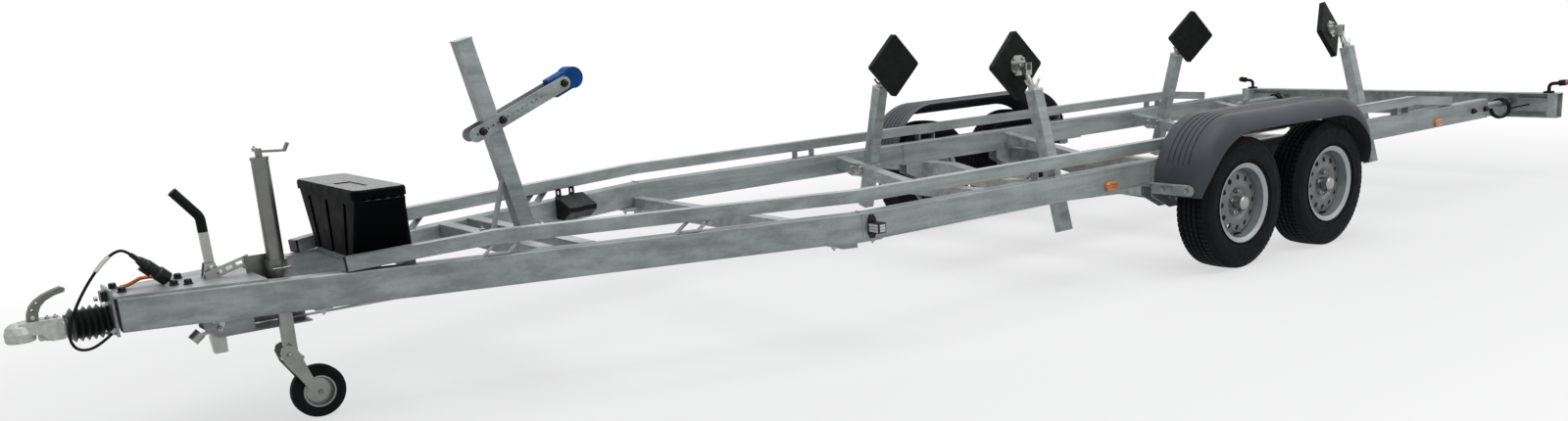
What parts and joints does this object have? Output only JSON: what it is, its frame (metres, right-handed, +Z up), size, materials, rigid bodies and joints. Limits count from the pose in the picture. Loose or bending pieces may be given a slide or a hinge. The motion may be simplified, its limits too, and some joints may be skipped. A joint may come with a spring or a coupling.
{
  "type": "boat trailer",
  "caption": "Tandem-axle boat trailer with V drawbar, tilting support pads, winch post, jockey wheel and toolbox.",
  "frame": {"origin": "on the floor below the middle of the overall length and width", "axes": "+X forward to the coupling, +Y to the left, +Z up"},
  "size_m": [8.54, 2.53, 1.3488],
  "materials": {
    "galvanised": "matt hot-dip galvanised, mottled grey",
    "zinc": "bright zinc plated",
    "silver_paint": "silver enamel",
    "tyre_rubber": "matt",
    "black_rubber": "matt",
    "grey_plastic": "grained",
    "black_plastic": "satin",
    "blue_rubber": "satin",
    "amber_plastic": "gloss",
    "clear_plastic": "gloss",
    "orange_plastic": "satin",
    "red_plastic": "gloss",
    "softwood": "bare"
  },
  "bodies": {
    "chassis": {"axle_carriers": "galvanised", "axle_tubes": "galvanised", "bellows": "black_rubber", "bow_arm": "galvanised", "bow_stop": "blue_rubber", "brake_cables": "black_plastic", "brake_linkage": "zinc", "coupling_handle": "zinc", "coupling_head": "zinc", "crossmember_kink": "galvanised", "drawbar_channel": "galvanised", "drawbar_ties": "galvanised", "dropped_crossmembers": "galvanised", "end_caps": "black_plastic", "fender_left": "grey_plastic", "fender_right": "grey_plastic", "handbrake": "zinc", "handbrake_grip": "black_plastic", "jockey_tube": "zinc", "keel_plank": "softwood", "lead_cord": "black_plastic", "light_beam": "galvanised", "main_rail_left": "galvanised", "main_rail_right": "galvanised", "orange_loop": "orange_plastic", "outline_lamps": "black_rubber", "overrun_housing": "zinc", "pad_spindles": "galvanised", "plug": "black_plastic", "plug_holder": "black_plastic", "position_lamps": "clear_plastic", "posts": "galvanised", "rail_brackets": "galvanised", "rear_cables": "black_plastic", "side_markers": "amber_plastic", "side_rail_left": "galvanised", "side_rail_right": "galvanised", "swing_arms": "galvanised", "tail_lamps": "red_plastic", "toolbox": "black_plastic", "wheel_chocks": "black_plastic", "winch_post": "galvanised"},
    "wheel_front_left": {"tyre_front_left": "tyre_rubber", "rim_front_left": "silver_paint"},
    "pad_front_left_body": {"pad_front_left": "black_rubber"},
    "wheel_front_right": {"tyre_front_right": "tyre_rubber", "rim_front_right": "silver_paint"},
    "pad_front_right_body": {"pad_front_right": "black_rubber"},
    "wheel_rear_left": {"tyre_rear_left": "tyre_rubber", "rim_rear_left": "silver_paint"},
    "pad_rear_left_body": {"pad_rear_left": "black_rubber"},
    "wheel_rear_right": {"tyre_rear_right": "tyre_rubber", "rim_rear_right": "silver_paint"},
    "pad_rear_right_body": {"pad_rear_right": "black_rubber"},
    "jockey_leg": {"jockey_stem": "zinc"},
    "jockey_caster": {"jockey_fork": "zinc"},
    "jockey_wheel": {"jockey_tyre": "tyre_rubber", "jockey_rim": "zinc"},
    "box_lid": {"toolbox_lid": "black_plastic"}
  },
  "joints": [
    {"name": "wheel_front_left_spin", "type": "hinge", "parent": "chassis", "child": "wheel_front_left", "pos_m": [-0.82, 1.13, 0.326], "axis": [0, 1, 0], "continuous": true},
    {"name": "wheel_front_right_spin", "type": "hinge", "parent": "chassis", "child": "wheel_front_right", "pos_m": [-0.82, -1.13, 0.326], "axis": [0, 1, 0], "continuous": true},
    {"name": "wheel_rear_left_spin", "type": "hinge", "parent": "chassis", "child": "wheel_rear_left", "pos_m": [-1.565, 1.13, 0.326], "axis": [0, 1, 0], "continuous": true},
    {"name": "wheel_rear_right_spin", "type": "hinge", "parent": "chassis", "child": "wheel_rear_right", "pos_m": [-1.565, -1.13, 0.326], "axis": [0, 1, 0], "continuous": true},
    {"name": "pad_front_left_tilt", "type": "hinge", "parent": "chassis", "child": "pad_front_left_body", "pos_m": [-0.03, 0.512, 1.05], "axis": [1, 0, 0], "range_deg": [-15, 15]},
    {"name": "pad_front_right_tilt", "type": "hinge", "parent": "chassis", "child": "pad_front_right_body", "pos_m": [-0.03, -0.512, 1.05], "axis": [1, 0, 0], "range_deg": [-15, 15]},
    {"name": "pad_rear_left_tilt", "type": "hinge", "parent": "chassis", "child": "pad_rear_left_body", "pos_m": [-2.6, 0.592, 1.082], "axis": [0.9659, 0.2588, 0], "range_deg": [-15, 15]},
    {"name": "pad_rear_right_tilt", "type": "hinge", "parent": "chassis", "child": "pad_rear_right_body", "pos_m": [-2.6, -0.512, 1.05], "axis": [0.9659, -0.2588, 0], "range_deg": [-15, 15]},
    {"name": "jockey_height", "type": "slide", "parent": "chassis", "child": "jockey_leg", "axis": [0, 0, 1], "range_m": [-0.12, 0.14]},
    {"name": "jockey_swivel", "type": "hinge", "parent": "jockey_leg", "child": "jockey_caster", "pos_m": [3.405, 0.085, 0.25], "axis": [0, 0, 1], "continuous": true},
    {"name": "jockey_wheel_spin", "type": "hinge", "parent": "jockey_caster", "child": "jockey_wheel", "pos_m": [3.33, 0.085, 0.1], "axis": [0, 1, 0], "continuous": true},
    {"name": "toolbox_lid_hinge", "type": "hinge", "parent": "chassis", "child": "box_lid", "pos_m": [3.079, 0.351, 0.805], "axis": [-1, 0, 0], "range_deg": [0, 95]}
  ]
}
